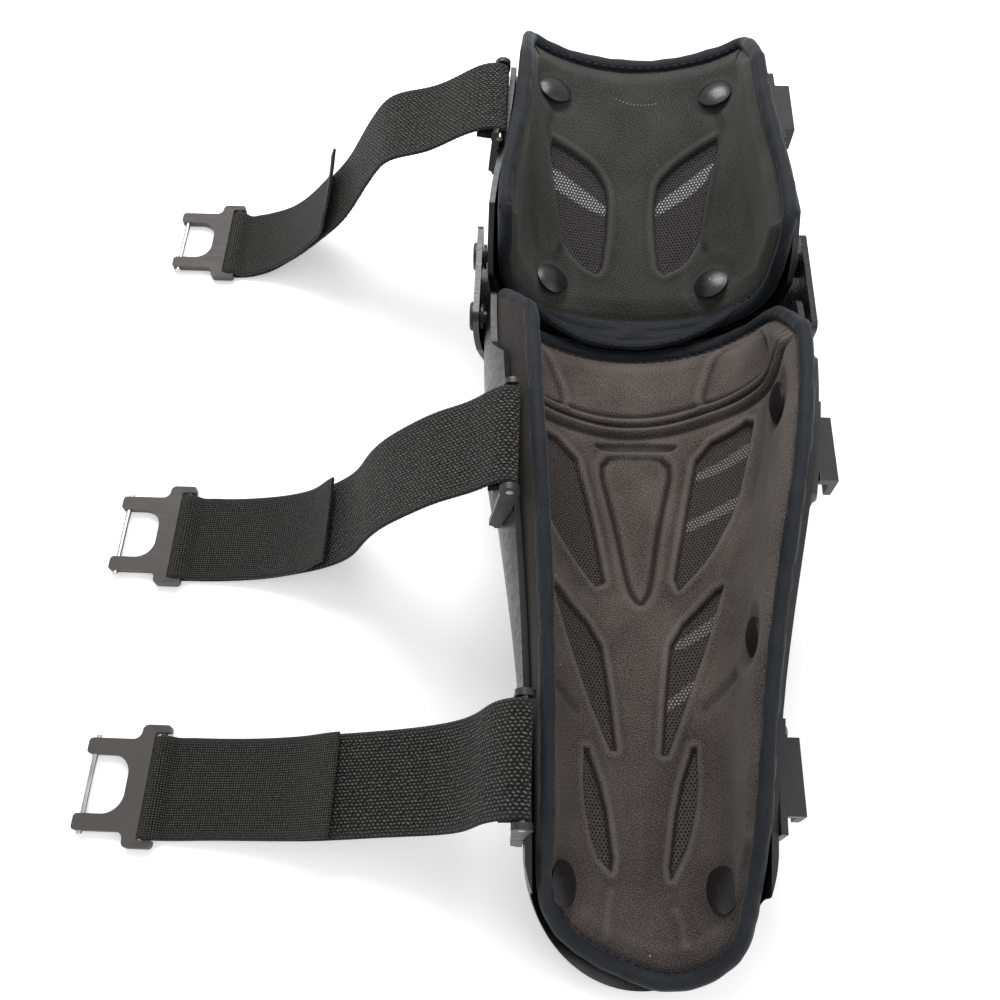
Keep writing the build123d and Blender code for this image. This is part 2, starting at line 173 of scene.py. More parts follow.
BUCKLE_BAR_HEIGHT = 3.9
LOOP = 2.7
# Thread in the straps: stitch length on the edges, its shares of the half width, share of a cross
# stitch, and reach of the cross rows
EDGE_STITCH = 1.7
SEAM_SHARES = (0.88, 0.985)
CROSS_STITCH = 0.055
SEAM_REACH = 0.9


# ---------------------------------------------------------------- small helpers
def place(points):
    """Millimetres over the floor to metres in the frame."""
    points = np.asarray(points, dtype=float) - (0.0, 0.0, AXIS_HEIGHT)
    return points / 1000.0


def smooth_step(start, end, value):
    """0 before start, 1 after end, smooth between; end may be below start."""
    share = np.clip((value - start) / (end - start), 0.0, 1.0)
    return share * share * (3 - 2 * share)


def bell(offset, width):
    """1 at no offset, falling smoothly to about a third at one width."""
    return np.exp(-((offset / width) ** 2))


def read_along(at, reach, values):
    """Columns of values known at the distances in reach, read at other distances."""
    return np.stack([np.interp(at, reach, values[:, k]) for k in range(values.shape[1])], axis=1)


def unit(vectors):
    """The same directions, one millimetre long."""
    return vectors / np.linalg.norm(vectors, axis=1, keepdims=True)


def run_length(line):
    """The distance along a line at each of its points."""
    return np.concatenate([[0], np.cumsum(np.linalg.norm(np.diff(line, axis=0), axis=1))])


def natural_spline(knots, values, at):
    """A natural cubic spline through the knots, read at any place."""
    count = len(knots)
    step = np.diff(knots)
    system = np.eye(count)
    right = np.zeros(count)
    for i in range(1, count - 1):
        system[i, i - 1:i + 2] = step[i - 1], 2 * (step[i - 1] + step[i]), step[i]
        right[i] = 3 * ((values[i + 1] - values[i]) / step[i] - (values[i] - values[i - 1]) / step[i - 1])
    bend = np.linalg.solve(system, right)
    i = np.clip(np.searchsorted(knots, at) - 1, 0, count - 2)
    along = at - knots[i]
    slope = (values[i + 1] - values[i]) / step[i] - step[i] * (2 * bend[i] + bend[i + 1]) / 3
    return values[i] + slope * along + bend[i] * along**2 + (bend[i + 1] - bend[i]) / (3 * step[i]) * along**3


def smooth_path(points, spacing):
    """Points every `spacing` along a natural spline through the given points."""
    points = np.array(points, dtype=float)
    reach = run_length(points)
    fine = np.linspace(0, reach[-1], len(points) * 40)
    curve = np.stack([natural_spline(reach, points[:, k], fine) for k in range(points.shape[1])], axis=1)
    return even_path(curve, spacing)


def even_path(curve, spacing):
    """The same line with evenly spaced points."""
    reach = run_length(curve)
    count = max(int(reach[-1] / spacing), 2)
    at = np.linspace(0, reach[-1], count + 1)
    return read_along(at, reach, curve)


def rounded(corners, times=2):
    """A closed outline with its corners cut round."""
    corners = [np.array(corner, dtype=float) for corner in corners]
    for _ in range(times):
        cut = []
        for here, after in zip(corners, corners[1:] + corners[:1]):
            cut += [here * 0.8 + after * 0.2, here * 0.2 + after * 0.8]
        corners = cut
    return corners


def segment_distance(a, y, start, end):
    """Distance to a segment and the share of the way along it."""
    run = np.subtract(end, start)
    share = ((a - start[0]) * run[0] + (y - start[1]) * run[1]) / (run @ run)
    share = np.clip(share, 0, 1)
    return np.hypot(a - start[0] - share * run[0], y - start[1] - share * run[1]), share


def outline_distance(a, y, corners):
    """Signed distance to a closed outline, negative inside."""
    inside = np.zeros(a.shape, bool)
    nearest = np.full(a.shape, 1e9)
    for start, end in zip(corners, corners[1:] + corners[:1]):
        nearest = np.minimum(nearest, segment_distance(a, y, start, end)[0])
        slant = (end[0] - start[0]) * (y - start[1]) / (end[1] - start[1] + 1e-9) + start[0]
        inside ^= ((start[1] > y) != (end[1] > y)) & (a < slant)
    return np.where(inside, -nearest, nearest)


def line_distance(a, y, points):
    """Distance to an open line of points, and the share of the way along it."""
    nearest = np.full(a.shape, 1e9)
    share = np.zeros(a.shape)
    count = len(points) - 1
    for i, (start, end) in enumerate(zip(points, points[1:])):
        distance, part = segment_distance(a, y, start, end)
        closer = distance < nearest
        nearest = np.where(closer, distance, nearest)
        share = np.where(closer, (i + part) / count, share)
    return nearest, share


def faded(share):
    """1 along a fold and 0 at its ends."""
    return smooth_step(0.0, 0.18, share) * smooth_step(1.0, 0.82, share)


# ---------------------------------------------------------------- mesh helpers
def add_mesh(name, points, quads, material, body, uv=None, layers=None):
    """An object from points in millimetres and four-cornered faces, riding on a body."""
    quads = np.asarray(quads, dtype=np.int32).reshape(-1, 4)
    mesh = bpy.data.meshes.new(name)
    mesh.vertices.add(len(points))
    mesh.vertices.foreach_set("co", place(points).astype(np.float32).ravel())
    mesh.loops.add(quads.size)
    mesh.loops.foreach_set("vertex_index", quads.ravel())
    mesh.polygons.add(len(quads))
    mesh.polygons.foreach_set("loop_start", np.arange(len(quads), dtype=np.int32) * 4)
    mesh.polygons.foreach_set("use_smooth", np.ones(len(quads), bool))
    mesh.update(calc_edges=True)
    if uv is not None:
        layer = mesh.uv_layers.new(name="UVMap")
        layer.data.foreach_set("uv", np.asarray(uv, dtype=np.float32)[quads.ravel()].ravel())
    for key, values in (layers or {}).items():
        attribute = mesh.attributes.new(key, "FLOAT", "POINT")
        attribute.data.foreach_set("value", np.asarray(values, dtype=np.float32).ravel())
    mesh.materials.append(material)
    made = bpy.data.objects.new(name, mesh)
    bpy.context.scene.collection.objects.link(made)
    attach(made, body)
    return made


def grid_quads(rows, columns, first=0, flip=False):
    """Faces of a grid whose points are stored row by row."""
    index = first + np.arange(rows * columns).reshape(rows, columns)
    quads = np.stack([index[:-1, :-1], index[:-1, 1:], index[1:, 1:], index[1:, :-1]], axis=-1)
    quads = quads.reshape(-1, 4)
    return quads[:, ::-1] if flip else quads


def border(rows, columns):
    """Indices round the edge of a grid, once round."""
    index = np.arange(rows * columns).reshape(rows, columns)
    return np.concatenate([index[0, :-1], index[:-1, -1], index[-1, :0:-1], index[:0:-1, 0]])


def closed_slab(front, back):
    """Points and faces of a closed piece between two grids of the same size."""
    rows, columns = front.shape[:2]
    count = rows * columns
    points = np.concatenate([front.reshape(-1, 3), back.reshape(-1, 3)])
    rim = border(rows, columns)
    after = np.roll(rim, -1)
    sides = np.stack([after, rim, rim + count, after + count], axis=1)
    quads = np.concatenate([grid_quads(rows, columns), grid_quads(rows, columns, count, True), sides])
    return points, quads


def swept(path, across, up, profile, closed):
    """Points and faces of a profile swept along a path, in the local directions across and up."""
    profile = np.asarray(profile, dtype=float)
    if profile.ndim == 2:
        profile = np.broadcast_to(profile, (len(path),) + profile.shape)
    points = path[:, None] + across[:, None] * profile[..., :1] + up[:, None] * profile[..., 1:]
    rows, columns = points.shape[:2]
    index = np.arange(rows * columns).reshape(rows, columns)
    if closed:
        index = np.concatenate([index, index[:1]])
    index = np.concatenate([index, index[:, :1]], axis=1)
    quads = np.stack([index[:-1, :-1], index[:-1, 1:], index[1:, 1:], index[1:, :-1]], axis=-1)
    return points.reshape(-1, 3), quads.reshape(-1, 4)


def oval(across, up, down, sides=20):
    """An oval profile with its own reach upwards and downwards."""
    turn = np.linspace(0, 2 * math.pi, sides, endpoint=False)
    high = np.sin(turn)
    return np.stack([across * np.cos(turn), np.where(high > 0, up, down) * high], axis=1)


def thread(starts, ends, lifts, radius, bulge):
    """Many short stitches: thin spindles from start to end that rise along lifts in the middle."""
    share = np.array([0.0, 0.12, 0.35, 0.65, 0.88, 1.0])
    size = np.array([0.25, 0.8, 1.0, 1.0, 0.8, 0.25]) * radius
    rise = np.array([-0.6, 0.3, 1.0, 1.0, 0.3, -0.6]) * bulge
    run = ends - starts
    along = unit(run)
    side = np.cross(along, lifts)
    turn = np.linspace(0, 2 * math.pi, 6, endpoint=False)
    ring = side[:, None] * np.cos(turn)[None, :, None] + lifts[:, None] * np.sin(turn)[None, :, None]
    middle = starts[:, None] + run[:, None] * share[None, :, None] + lifts[:, None] * rise[None, :, None]
    points = middle[:, :, None] + ring[:, None] * size[None, :, None, None]
    count, rows, columns = points.shape[:3]
    index = np.arange(rows * columns).reshape(rows, columns)
    index = np.concatenate([index, index[:, :1]], axis=1)
    one = np.stack([index[:-1, :-1], index[:-1, 1:], index[1:, 1:], index[1:, :-1]], axis=-1).reshape(-1, 4)
    quads = one[None] + np.arange(count)[:, None, None] * rows * columns
    return points.reshape(-1, 3), quads.reshape(-1, 4)


# ---------------------------------------------------------------- materials
class Shade:
    """A material under construction: every call adds one node and returns its output."""

    def __init__(self, name):
        self.material = bpy.data.materials.new(name)
        self.material.use_nodes = True
        self.tree = self.material.node_tree
        self.tree.nodes.clear()
        self.shader = self.tree.nodes.new("ShaderNodeBsdfPrincipled")
        output = self.tree.nodes.new("ShaderNodeOutputMaterial")
        self.tree.links.new(self.shader.outputs[0], output.inputs["Surface"])

    def add(self, kind, output=0, settings=None, **inputs):
        """A node with its settings; inputs named in0, in1… go by number, the others by name."""
        node = self.tree.nodes.new(kind)
        for key, value in (settings or {}).items():
            setattr(node, key, value)
        for key, value in inputs.items():
            socket = node.inputs[int(key[2:])] if key[:2] == "in" and key[2:].isdigit() else node.inputs[key]
            self.join(value, socket)
        return node.outputs[output]

    def join(self, value, socket):
        if isinstance(value, bpy.types.NodeSocket):
            self.tree.links.new(value, socket)
        else:
            socket.default_value = value

    def math(self, operation, *values):
        inputs = {f"in{i}": value for i, value in enumerate(values)}
        return self.add("ShaderNodeMath", settings={"operation": operation}, **inputs)

    def plus(self, *values):
        return self.math("ADD", *values)

    def times(self, *values):
        return self.math("MULTIPLY", *values)

    def vector(self, operation, *values, output=0):
        inputs = {f"in{i}": value for i, value in enumerate(values)}
        return self.add("ShaderNodeVectorMath", output, {"operation": operation}, **inputs)

    def mix(self, share, first, second):
        """A colour between two."""
        return self.add(
            "ShaderNodeMix", 2, {"data_type": "RGBA"}, in0=share, in6=colour(first), in7=colour(second)
        )

    def ramp(self, value, low, high, start=0.0, end=1.0):
        """Maps start..end to low..high, smoothly and clamped."""
        return self.add(
            "ShaderNodeMapRange", settings={"interpolation_type": "SMOOTHSTEP"}, in0=value, in1=start,
            in2=end, in3=low, in4=high,
        )

    def noise(self, where, scale, detail=3.0, roughness=0.55):
        return self.add(
            "ShaderNodeTexNoise", 0, Vector=where, Scale=scale, Detail=detail, Roughness=roughness
        )

    def uv(self):
        """UV coordinates, which hold metres."""
        return self.add("ShaderNodeUVMap", settings={"uv_map": "UVMap"})

    def spot(self):
        """Coordinates fixed to the piece."""
        return self.add("ShaderNodeTexCoord", 3)

    def layer(self, name):
        return self.add("ShaderNodeAttribute", 2, {"attribute_name": name})

    def finish(self, bumps=(), **inputs):
        """Sets the shader's inputs and chains the bumps, each (height, distance, strength)."""
        normal = None
        for height, distance, strength in bumps:
            extra = {} if normal is None else {"Normal": normal}
            normal = self.add(
                "ShaderNodeBump", Height=height, Distance=distance, Strength=strength, **extra
            )
        if normal is not None:
            self.join(normal, self.shader.inputs["Normal"])
        for key, value in inputs.items():
            self.join(value, self.shader.inputs[key.replace("_", " ")])
        return self.material


def colour(value):
    """A socket as it is, or three numbers with full alpha."""
    return value if isinstance(value, bpy.types.NodeSocket) else (*value, 1.0)


def hex_holes(shade, where, pitch):
    """Distance to the nearest hole of a honeycomb mesh, in holes."""
    tall = math.sqrt(3.0)
    cell = shade.vector("MULTIPLY", where, (1 / pitch, 1 / pitch / tall, 0.0))
    found = []
    for shift in (0.0, 0.5):
        moved = shade.vector("ADD", cell, (shift, shift, 0.0))
        part = shade.vector("SUBTRACT", shade.vector("FRACTION", moved), (0.5, 0.5, 0.0))
        flat = shade.vector("MULTIPLY", part, (1.0, tall, 0.0))
        found.append(shade.vector("LENGTH", flat, output=1))
    return shade.math("MINIMUM", *found)


def knit(shade, where, pitch):
    """Height of a fine knitted face: slanting rows of small loops."""
    turned = shade.add("ShaderNodeMapping", Vector=where, Rotation=(0.0, 0.0, 0.6))
    scaled = shade.vector("MULTIPLY", turned, (1 / pitch, 1 / pitch, 0.0))
    parts = shade.add("ShaderNodeSeparateXYZ", Vector=scaled).node
    across = shade.math("SINE", shade.times(parts.outputs[0], 2 * math.pi))
    along = shade.math("SINE", shade.times(parts.outputs[1], 2 * math.pi))
    return shade.times(across, along)


def pad_fabric(name, dark, light, mesh_dark, mesh_light, light_behind_mesh, sheen, fleck):
    """Laminated knit over foam, with honeycomb mesh and bands of painted light behind it where the layers say
    so; painted highlight on the crests and painted shade in the hollows.
    """
    shade = Shade(name)
    where = shade.uv()
    weave = knit(shade, where, 0.0011)
    grain = shade.noise(where, 1500.0, 2.0, 0.6)
    cloud = shade.noise(where, 22.0, 4.0, 0.6)
    tone = shade.plus(shade.times(grain, 0.75), shade.times(cloud, 0.30))
    tone = shade.plus(tone, shade.times(weave, 0.13))
    level = shade.add("ShaderNodeSeparateXYZ", 1, Vector=where)
    cloth = shade.mix(shade.ramp(tone, 0.0, 1.0, 0.40, 0.66), dark, light)
    cloth = shade.mix(shade.ramp(level, 0.50, 0.0, -0.31, -0.16), cloth, dark)
    dust = shade.add(
        "ShaderNodeTexVoronoi", 0, {"feature": "F1"}, Vector=where, Scale=fleck, Randomness=1.0
    )
    dust_share = shade.ramp(dust, 0.75, 0.0, 0.012, 0.028)
    cloth = shade.mix(dust_share, cloth, (0.45, 0.45, 0.45))
    # painted highlight: the crests of the relief are lightened towards a brighter copy of the cloth colour
    highlight_colour = tuple(1.35 * c for c in light)
    cloth = shade.mix(shade.times(shade.layer("crest_highlight"), 0.28), cloth, highlight_colour)
    # painted shade: where the layer hollow says so, the cloth is darkened towards near black
    low = shade.layer("hollow")
    cloth = shade.mix(shade.times(low, 0.85), cloth, (0.006, 0.005, 0.005))
    hole = hex_holes(shade, where, 0.0018)
    solid = shade.ramp(hole, 0.0, 1.0, 0.18, 0.36)
    # the holes in the mesh show painted light where a band lies and near-black painted shade elsewhere
    band = shade.layer("band")
    behind = shade.mix(band, (0.0045, 0.004, 0.004), light_behind_mesh)
    strand = shade.mix(shade.ramp(grain, 0.0, 1.0, 0.35, 0.7), mesh_dark, mesh_light)
    mesh_colour = shade.mix(solid, behind, strand)
    inside = shade.layer("mesh")
    base = shade.mix(inside, cloth, mesh_colour)
    mesh_height = shade.times(solid, inside)
    return shade.finish(
        bumps=[(weave, 0.00018, 0.55), (grain, 0.00030, 0.6), (mesh_height, 0.0008, 0.9)],
        Base_Color=base,
        Roughness=shade.ramp(grain, 0.82, 0.96),
        Sheen_Weight=sheen,
        Sheen_Roughness=0.4,
        Specular_IOR_Level=0.25,
    )


def binding_fabric():
    """Smooth stretched tape of dark blue-grey, finely ribbed along its length."""
    shade = Shade("binding_fabric")
    where = shade.uv()
    parts = shade.add("ShaderNodeSeparateXYZ", Vector=where).node
    ribs = shade.math("SINE", shade.times(parts.outputs[1], 2 * math.pi / 0.0011))
    grain = shade.noise(where, 900.0, 3.0, 0.6)
    cloud = shade.noise(where, 30.0, 3.0, 0.6)
    tone = shade.plus(shade.times(grain, 0.6), shade.times(cloud, 0.5))
    base = shade.mix(shade.ramp(tone, 0.0, 1.0, 0.35, 0.8), (0.0042, 0.0050, 0.0070), (0.017, 0.020, 0.028))
    crease = shade.noise(shade.vector("MULTIPLY", where, (1.0, 4.0, 1.0)), 60.0, 3.0, 0.6)
    return shade.finish(
        bumps=[(crease, 0.0012, 0.55), (ribs, 0.00012, 0.4), (grain, 0.0002, 0.5)],
        Base_Color=base,
        Roughness=shade.ramp(cloud, 0.62, 0.82),
        Sheen_Weight=0.12,
        Sheen_Roughness=0.35,
        Specular_IOR_Level=0.3,
    )


def webbing():
    """Elastic band: coarse looped face, and a finer, flatter face where the layer `hook` is 1."""
    shade = Shade("strap_webbing")
    where = shade.uv()
    parts = shade.add("ShaderNodeSeparateXYZ", Vector=where).node
    across, along = parts.outputs[0], parts.outputs[1]
    cord = shade.math("SINE", shade.times(across, 2 * math.pi / 0.0012))
    wobble = shade.noise(where, 420.0, 2.0, 0.5)
    column = shade.plus(shade.math("DIVIDE", across, 0.0016), shade.times(wobble, 0.9))
    shift = shade.times(shade.math("FLOOR", column), 0.45)
    row = shade.plus(shade.math("DIVIDE", along, 0.0023), shade.times(wobble, 1.1))
    row = shade.plus(row, shift)
    beside = shade.math("SINE", shade.times(shade.math("FRACT", column), math.pi))
    ahead = shade.math("SINE", shade.times(shade.math("FRACT", row), math.pi))
    coarse = shade.times(beside, ahead)
    fine_rib = shade.math("SINE", shade.times(along, 2 * math.pi / 0.0013))
    fine = shade.plus(shade.times(shade.plus(fine_rib, cord), 0.22), 0.46)
    grain = shade.noise(where, 1500.0, 2.0, 0.6)
    hook = shade.layer("hook")
    edge = shade.layer("edge")
    height = shade.plus(
        shade.times(fine, hook), shade.times(coarse, shade.math("SUBTRACT", 1.0, hook))
    )
    tone = shade.plus(shade.times(height, 0.55), shade.times(grain, 0.8))
    base = shade.mix(shade.ramp(tone, 0.0, 1.0, 0.64, 1.0), (0.0004, 0.0004, 0.0004), (0.125, 0.123, 0.117))
    base = shade.mix(shade.times(edge, 0.5), base, (0.022, 0.022, 0.022))
    return shade.finish(
        bumps=[(height, 0.0009, 1.0), (grain, 0.0002, 0.5)],
        Base_Color=base,
        Roughness=0.78,
        Sheen_Weight=0.05,
        Sheen_Roughness=0.5,
        Specular_IOR_Level=0.25,
    )


def thread_material(name, base):
    """Twisted thread."""
    shade = Shade(name)
    twist = shade.add(
        "ShaderNodeTexWave", 1, {"wave_type": "BANDS", "bands_direction": "DIAGONAL"},
        Vector=shade.spot(), Scale=700.0, Distortion=1.0,
    )
    tint = shade.mix(twist, tuple(0.6 * c for c in base), base)
    return shade.finish(
        bumps=[(twist, 0.0002, 0.5)], Base_Color=tint, Roughness=0.55, Specular_IOR_Level=0.4
    )


def plastic(name, base, roughness, grain_scale, wear, specular=0.5):
    """Moulded plastic with a fine grain, faint streaks and rubbed edges."""
    shade = Shade(name)
    where = shade.spot()
    grain = shade.noise(where, grain_scale, 3.0, 0.6)
    streak = shade.noise(shade.vector("MULTIPLY", where, (1.0, 6.0, 2.0)), 70.0, 4.0, 0.65)
    patch = shade.noise(where, 14.0, 4.0, 0.6)
    edge = shade.add("ShaderNodeNewGeometry", 7)
    rubbed = shade.ramp(edge, 0.0, wear, 0.52, 0.62)
    worn = tuple(min(1.0, 1.7 * c + 0.006) for c in base)
    tint = shade.mix(shade.ramp(patch, 0.0, 0.35, 0.35, 0.75), base, worn)
    tint = shade.mix(rubbed, tint, worn)
    rough = shade.plus(shade.ramp(streak, -0.06, 0.12, 0.3, 0.75), roughness)
    return shade.finish(
        bumps=[(streak, 0.0003, 0.25), (grain, 0.00018, 0.45)],
        Base_Color=tint,
        Roughness=rough,
        Specular_IOR_Level=specular,
    )


def metal(name, base, roughness):
    """Drawn steel with faint lines along it."""
    shade = Shade(name)
    where = shade.spot()
    lines = shade.noise(shade.vector("MULTIPLY", where, (12.0, 0.6, 12.0)), 90.0, 3.0, 0.6)
    patch = shade.noise(where, 60.0, 3.0, 0.6)
    tint = shade.mix(shade.ramp(patch, 0.0, 0.5, 0.4, 0.7), base, tuple(0.55 * c for c in base))
    return shade.finish(
        bumps=[(lines, 0.0002, 0.25)],
        Base_Color=tint,
        Metallic=1.0,
        Roughness=shade.ramp(lines, roughness - 0.06, roughness + 0.12, 0.3, 0.7),
    )


SHIN_FABRIC = pad_fabric(
    "shin_fabric", (0.014, 0.011, 0.010), (0.165, 0.137, 0.125), (0.034, 0.028, 0.026), (0.115, 0.095, 0.090),
    (0.36, 0.34, 0.33), 0.10, 45.0,
)
THIGH_FABRIC = pad_fabric(
    "thigh_fabric", (0.011, 0.011, 0.0105), (0.076, 0.075, 0.072), (0.026, 0.024, 0.024),
    (0.085, 0.080, 0.080), (0.60, 0.61, 0.61), 0.10, 90.0,
)
BINDING = binding_fabric()
WEBBING = webbing()
DARK_THREAD = thread_material("dark_thread", (0.016, 0.017, 0.022))
STRAP_THREAD = thread_material("strap_thread", (0.050, 0.050, 0.050))
# the vent dots: pale painted light in the thigh pad's pierced holes
VENT_LIGHT_DOTS = thread_material("vent_lining", (0.30, 0.30, 0.29))
SHELL = plastic("shell_plastic_look", (0.006, 0.006, 0.0065), 0.34, 2600.0, 0.35)
CUP = plastic("cup_plastic_look", (0.006, 0.006, 0.0065), 0.28, 2200.0, 0.35)
RIB = plastic("rib_plastic_look", (0.018, 0.018, 0.019), 0.42, 1800.0, 0.35)
HARDWARE = plastic("hardware_plastic_look", (0.008, 0.0078, 0.0074), 0.40, 1900.0, 0.30)
BUCKLE = plastic("buckle_plastic_look", (0.040, 0.036, 0.033), 0.50, 2400.0, 0.40, 0.4)
SHIN_CAP = plastic("shin_cap_look", (0.008, 0.007, 0.007), 0.42, 1500.0, 0.15, 0.4)
THIGH_CAP = plastic("thigh_cap_look", (0.010, 0.010, 0.010), 0.30, 1500.0, 0.15, 0.55)
WIRE = metal("steel_wire_look", (0.62, 0.61, 0.59), 0.24)
RIVET = metal("rivet_metal_look", (0.20, 0.20, 0.20), 0.38)


# ---------------------------------------------------------------- surfaces of the pads
def outer_face(sections, share, y):
    """(X, Z) of a pad's outer face at a share round the U and a Y."""
    width, base, belly, edge, lean = [
        natural_spline(sections[:, 0], sections[:, k], y) for k in range(1, 6)
    ]
    turn = math.pi / 2 * np.clip(share / BELLY_SHARE, -1, 1)
    climb = np.clip((np.abs(share) - BELLY_SHARE) / (1 - BELLY_SHARE), 0, 1)
    low = np.abs(share) <= BELLY_SHARE
    wall = width - np.where(share < 0, lean, 0) * climb**2
    x = np.where(low, width * np.sin(turn), np.sign(share) * wall)
    z = np.where(low, belly - (belly - base) * np.cos(turn), belly + (edge - belly) * climb)
    return x, z


def pad_face(sections, share, y, offset):
    """Points at an offset into the U from the outer face, and the normals there."""
    step = 0.012
    x, z = outer_face(sections, share, y)
    x0, z0 = outer_face(sections, np.clip(share - step, -1, 1), y)
    x1, z1 = outer_face(sections, np.clip(share + step, -1, 1), y)
    length = np.hypot(x1 - x0, z1 - z0)
    normal = np.stack([-(z1 - z0) / length, np.zeros_like(x), (x1 - x0) / length], axis=-1)
    points = np.stack([x, y, z], axis=-1)
    return points + normal * np.asarray(offset)[..., None], normal


def round_distance(sections, shares, y_low, y_high):
    """A table of the distance round the inside of the pad: levels in Y, and distances per share."""
    levels = np.linspace(y_low, y_high, 50)
    at, level = np.meshgrid(shares, levels)
    points, _ = pad_face(sections, at, level, np.full(at.shape, PAD_THICKNESS))
    steps = np.linalg.norm(np.diff(points, axis=1), axis=2)
    reach = np.concatenate([np.zeros((len(levels), 1)), np.cumsum(steps, axis=1)], axis=1)
    middle = np.array([np.interp(0.0, shares, row) for row in reach])
    return levels, reach - middle[:, None]


def side_profile(sections, share, points, start):
    """Y of an edge whose side view (Z, Y) is given, at each share round the U."""
    heights, places = zip(*points)
    y = np.full(share.shape, float(start))
    for _ in range(30):
        _, z = outer_face(sections, share, y)
        y = 0.5 * y + 0.5 * np.interp(z, heights, places)
    return y


def soften(values, width):
    """Smooths a row of values with a sliding window."""
    reach = np.arange(-3 * width, 3 * width + 1)
    weights = np.exp(-0.5 * (reach / width) ** 2)
    padded = np.pad(values, 3 * width, mode="edge")
    return np.convolve(padded, weights / weights.sum(), mode="valid")


def shin_low_edge(share):
    """The rounded lower end, fuller on the right."""
    moved = share - 0.12
    reach = np.abs(np.where(moved < 0, moved / 1.12, moved / 0.88))
    power = np.where(moved < 0, 1.35, 1.65)
    return -264.0 - 67.0 * np.clip(1 - reach**power, 0, 1) ** (1 / power)


def shin_high_edge(share):
    """Level over the belly and cut away towards the corners, more on the right."""
    left_points = [(0, 3), (60, 3), (80, 0), (100, -10), (116, -24), (128, -41)]
    right_points = [(0, 3), (50, 3), (72, 0), (88, -7), (112, -31), (128, -50)]
    left = side_profile(SHIN_SECTIONS, share, left_points, -20)
    right = side_profile(SHIN_SECTIONS, share, right_points, -20)
    return np.where(share < 0, left, right)


def thigh_low_edge(share):
    left_points = [(0, 12), (56, 11), (71, 16), (90, 16), (116, 15), (130, 23)]
    right_points = [(0, 12), (60, 10.5), (100, 10.5), (116, 13), (130, 23)]
    left = side_profile(THIGH_SECTIONS, share, left_points, 10)
    right = side_profile(THIGH_SECTIONS, share, right_points, 10)
    return np.where(share < 0, left, right) + 2.5 * bell(share, 0.3)


def thigh_high_edge(share):
    """Dips in the middle and stands up to two rounded corners."""
    corner = np.clip((np.abs(share) - 0.58) / 0.42, 0, 1)
    middle = bell(share, 0.36)
    return 172.5 - 5.5 * middle - 28.0 * corner**2 - 14.0 * (1 - np.sqrt(1 - corner**2))


def cap_dimples(a, y, caps, table, shares, width, depth):
    """Depth of the soft hollows round the caps."""
    levels, reach = table
    hollow = np.zeros(a.shape)
    for cap_y, cap_share in caps:
        row = np.array([np.interp(cap_y, levels, reach[:, c]) for c in range(len(shares))])
        for side in (1, -1):
            cap_a = np.interp(side * cap_share, shares, row)
            distance = np.hypot(a - cap_a, y - cap_y)
            hollow = np.maximum(hollow, depth * smooth_step(width, 10.0, distance))
    return hollow


def stamped(a, y, windows, bands, sink):
    """Depth, mesh mask, mask of the stripes of painted light behind the mesh, and painted shade of the
    windows pressed into a pad.
    """
    height = np.zeros(a.shape)
    mesh = np.zeros(a.shape)
    band = np.zeros(a.shape)
    hollow = np.zeros(a.shape)
    for corners in windows:
        distance = outline_distance(a, y, rounded(corners, 1))
        height -= sink * smooth_step(0.9, -1.1, distance)
        height += 0.9 * bell(distance - 2.4, 1.7)
        height += 0.5 * bell(distance + 2.1, 0.8)
        height += 0.6 * smooth_step(-2.5, -9.0, distance)
        mesh = np.maximum(mesh, smooth_step(-0.5, -1.1, distance))
        # painted shade along the edges of the windows
        hollow = np.maximum(hollow, bell(distance + 0.3, 0.75))
    # mask of the stripes of painted light behind the mesh
    for corners in bands:
        distance = outline_distance(a, y, rounded(corners, 1))
        band = np.maximum(band, smooth_step(0.5, -0.5, distance))
    return height, mesh, band, hollow


def folds(a, y, lines, sign, height, hollow):
    """Adds soft grooves or ridges along lines."""
    for points, depth, width in lines:
        distance, share = line_distance(a, y, [np.array(p, float) for p in points])
        bump = depth * np.exp(-((distance / width) ** 2)) * faded(share)
        height += sign * bump
        # painted shade along the grooves
        if sign < 0:
            hollow = np.maximum(hollow, 0.4 * bump / depth * min(depth, 1.0))
    return height, hollow


